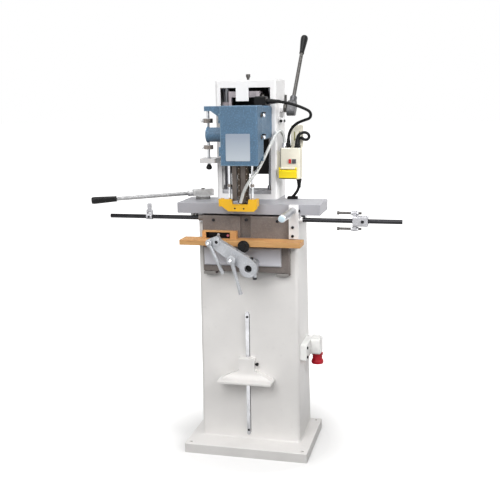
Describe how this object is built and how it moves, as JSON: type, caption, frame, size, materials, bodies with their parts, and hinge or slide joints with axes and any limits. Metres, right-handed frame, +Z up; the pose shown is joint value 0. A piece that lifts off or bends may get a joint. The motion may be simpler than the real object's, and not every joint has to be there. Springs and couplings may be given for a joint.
{
  "type": "chain mortiser",
  "caption": "Floor-standing chain mortiser: a tapered pedestal with fence and work clamp, a lever-driven cross slide, and an upright that carries a hinged chain head.",
  "frame": {"origin": "centre of the base plate's underside, on the floor", "axes": "+Z up, +X to the right of the operator who faces the machine, +Y away from the operator"},
  "size_m": [1.2946, 0.7944, 1.7904],
  "materials": {
    "column_paint": "satin",
    "dark_casting": "satin",
    "light_paint": "satin",
    "white_paint": "satin",
    "blue_paint": "gloss",
    "grey_metal": "satin",
    "steel": "brushed",
    "chrome": "polished",
    "dark_steel": "black oxide",
    "black_plastic": "matte",
    "cream_plastic": "matte",
    "white_plastic": "matte",
    "red_plastic": "gloss",
    "yellow_paint": "gloss",
    "yellow_plastic": "matte",
    "clear_hose": "translucent",
    "wood": "raw",
    "rubber": "matte",
    "cast_alloy": "satin",
    "plate_metal": "satin"
  },
  "bodies": {
    "stand": {"base_plate": "column_paint", "column": "column_paint", "rest_rail": "steel", "fence_casting": "dark_casting", "fence_panel": "light_paint", "wood_board": "wood", "wood_block": "wood", "post_bracket": "white_paint", "clamp_posts": "steel", "stop_rods": "dark_steel", "guide_bars": "steel", "traverse_rack": "steel", "inlet_body": "white_plastic", "inlet_collar": "red_plastic", "black_screws": "dark_steel"},
    "carriage": {"saddle": "light_paint", "upright": "white_paint", "foot_block": "grey_metal", "guide_columns": "chrome", "back_panel": "black_plastic", "wing_screw": "dark_steel", "depth_bracket": "white_paint", "switch_box": "cream_plastic", "cable_glands": "black_plastic", "terminal_cover": "cream_plastic", "blower_hose": "clear_hose", "motor_cable": "rubber", "switch_cables": "rubber"},
    "start": {"start_button": "black_plastic"},
    "stop": {"stop_button": "red_plastic"},
    "flap": {"switch_flap": "yellow_plastic"},
    "traverse": {"traverse_lever": "steel", "traverse_grip": "black_plastic"},
    "head": {"head_casing": "blue_paint", "crosshead": "grey_metal", "motor": "grey_metal", "depth_rod": "steel", "depth_ball": "black_plastic", "guide_bar": "steel", "mortise_chain": "dark_steel", "entry_box": "black_plastic"},
    "sprocket": {"drive_sprocket": "dark_steel"},
    "cover": {"chain_cover": "blue_paint", "nameplate": "plate_metal", "cover_knobs": "chrome"},
    "guard": {"guard": "yellow_paint", "guard_rods": "chrome"},
    "feed": {"feed_lever": "dark_steel", "feed_grip": "black_plastic", "feed_shaft": "dark_steel"},
    "rest": {"shelf": "column_paint", "shelf_knob": "black_plastic"},
    "arm": {"clamp_arm": "cast_alloy", "clamp_pad": "rubber"},
    "arm_lever": {"clamp_lever": "cast_alloy"},
    "side_handle": {"side_lever": "cast_alloy"},
    "left_collar": {"left_stop": "steel"},
    "finger": {"left_finger": "steel"},
    "right_block": {"right_stop": "steel"},
    "adjusters": {"stop_screws": "dark_steel"}
  },
  "joints": [
    {"name": "cross_slide", "type": "slide", "parent": "stand", "child": "carriage", "axis": [1, 0, 0], "range_m": [-0.065, 0.065]},
    {"name": "traverse_pivot", "type": "hinge", "parent": "carriage", "child": "traverse", "pos_m": [-0.222, 0.012, 1.1], "axis": [0, 0, 1], "range_deg": [-76, 76]},
    {"name": "head_slide", "type": "slide", "parent": "carriage", "child": "head", "axis": [0, 0, 1], "range_m": [-0.11, 0], "deforming": ["blower_hose", "motor_cable"]},
    {"name": "feed_pivot", "type": "hinge", "parent": "carriage", "child": "feed", "pos_m": [0.15, 0.119, 1.468], "axis": [1, 0, 0], "range_deg": [0, 88]},
    {"name": "sprocket_spin", "type": "hinge", "parent": "head", "child": "sprocket", "pos_m": [0.006, -0.167, 1.4164], "axis": [0, 1, 0], "continuous": true, "deforming": ["mortise_chain"]},
    {"name": "cover_hinge", "type": "hinge", "parent": "head", "child": "cover", "pos_m": [-0.0745, -0.224, 1.4], "axis": [0, 0, 1], "range_deg": [-100, 0]},
    {"name": "guard_slide", "type": "slide", "parent": "head", "child": "guard", "axis": [0, 0, 1], "range_m": [0, 0.08]},
    {"name": "start_press", "type": "slide", "parent": "carriage", "child": "start", "axis": [0, 1, 0], "range_m": [0, 0.004], "stiffness_N_per_m": 800, "springref_m": -0.002},
    {"name": "stop_press", "type": "slide", "parent": "carriage", "child": "stop", "axis": [0, 1, 0], "range_m": [0, 0.004], "stiffness_N_per_m": 800, "springref_m": -0.002},
    {"name": "flap_hinge", "type": "hinge", "parent": "carriage", "child": "flap", "pos_m": [0.15, 0.026, 1.218], "axis": [1, 0, 0], "range_deg": [-90, 0]},
    {"name": "rest_slide", "type": "slide", "parent": "stand", "child": "rest", "axis": [0, 0, 1], "range_m": [-0.22, 0.165]},
    {"name": "arm_pivot", "type": "hinge", "parent": "stand", "child": "arm", "pos_m": [0.047, -0.26, 0.844], "axis": [0, 1, 0], "range_deg": [-45, 35]},
    {"name": "arm_lever_pivot", "type": "hinge", "parent": "arm", "child": "arm_lever", "pos_m": [-0.015, -0.29, 0.884], "axis": [0, 1, 0], "range_deg": [-60, 60]},
    {"name": "side_handle_pivot", "type": "hinge", "parent": "arm", "child": "side_handle", "pos_m": [-0.112, -0.282, 0.946], "axis": [0, 1, 0], "range_deg": [-15, 90]},
    {"name": "left_stop_slide", "type": "slide", "parent": "stand", "child": "left_collar", "axis": [1, 0, 0], "range_m": [-0.15, 0.03]},
    {"name": "finger_pivot", "type": "hinge", "parent": "left_collar", "child": "finger", "pos_m": [-0.424, -0.112, 1.046], "axis": [1, 0, 0], "range_deg": [0, 95]},
    {"name": "right_stop_slide", "type": "slide", "parent": "stand", "child": "right_block", "axis": [1, 0, 0], "range_m": [0, 0.13]},
    {"name": "adjuster_slide", "type": "slide", "parent": "right_block", "child": "adjusters", "axis": [1, 0, 0], "range_m": [0, 0.02]}
  ],
  "couplings": [
    {"joint": "traverse_pivot", "follows": "cross_slide", "rad_per_m": 20},
    {"joint": "feed_pivot", "follows": "head_slide", "rad_per_m": -13.8}
  ]
}
